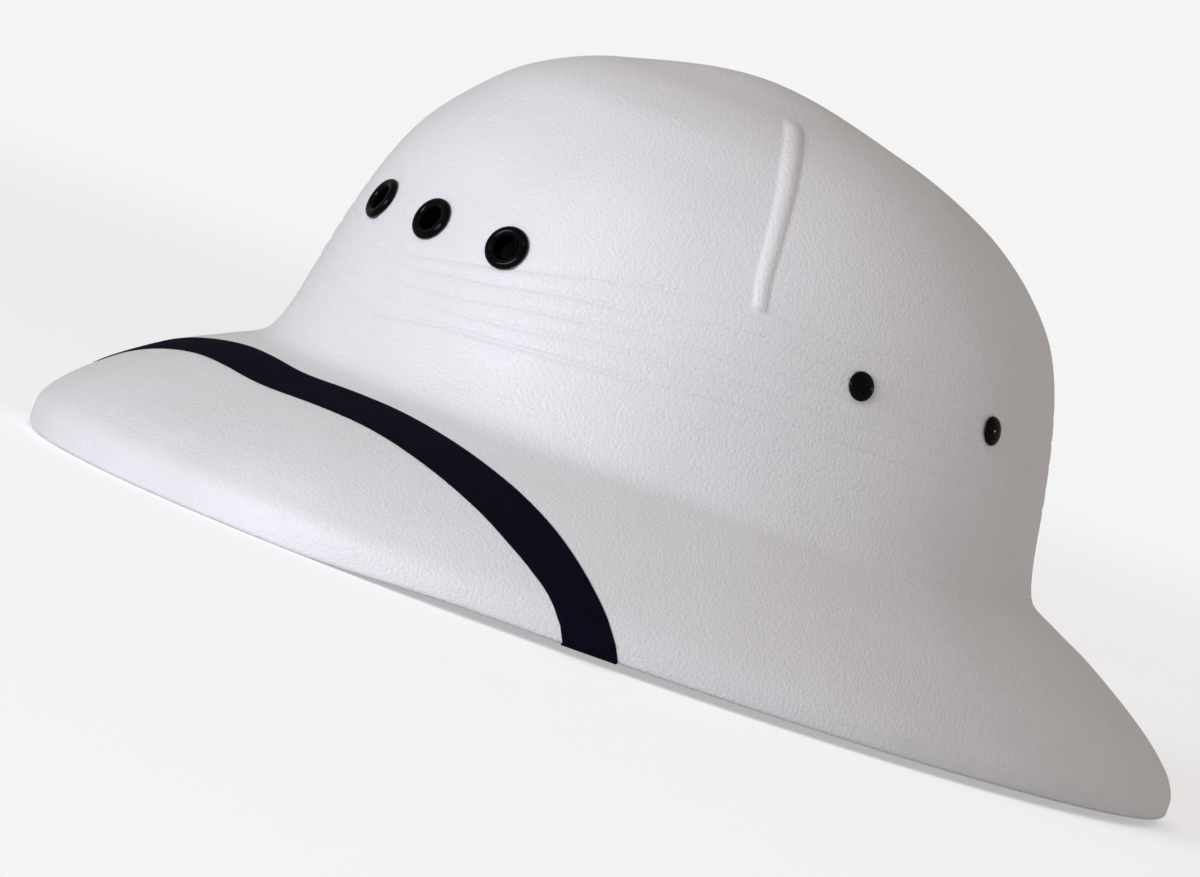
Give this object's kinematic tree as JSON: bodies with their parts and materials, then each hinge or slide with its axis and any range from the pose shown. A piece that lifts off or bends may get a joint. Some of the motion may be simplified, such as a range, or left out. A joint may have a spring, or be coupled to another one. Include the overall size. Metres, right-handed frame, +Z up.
{
  "type": "pith helmet",
  "caption": "Sun helmet with a tall domed crown and a wide sloping brim in one hollow moulding, vent eyelets, side rivets and an elastic chin strap worn up over the front of the brim.",
  "frame": {"origin": "under the middle of the brim, on the plane that its lower edge rests on", "axes": "+Z up through the crown, -Y towards the front that the wearer looks out of, +X towards the wearer's left"},
  "size_m": [0.274, 0.325, 0.1435],
  "materials": {
    "white_plastic": "moulded plastic with a fine pebbled grain and a satin sheen",
    "navy_webbing": "ribbed woven elastic",
    "black_enamel": "glossy black enamel"
  },
  "bodies": {
    "root": {"helmet_shell": "white_plastic", "chin_strap": "navy_webbing", "eyelet_front_left": "black_enamel", "eyelet_front_centre": "black_enamel", "eyelet_front_right": "black_enamel", "rivet_left_front": "black_enamel", "rivet_left_rear": "black_enamel", "rivet_right_front": "black_enamel", "rivet_right_rear": "black_enamel", "strap_stud_left": "black_enamel", "strap_stud_right": "black_enamel"}
  },
  "joints": []
}
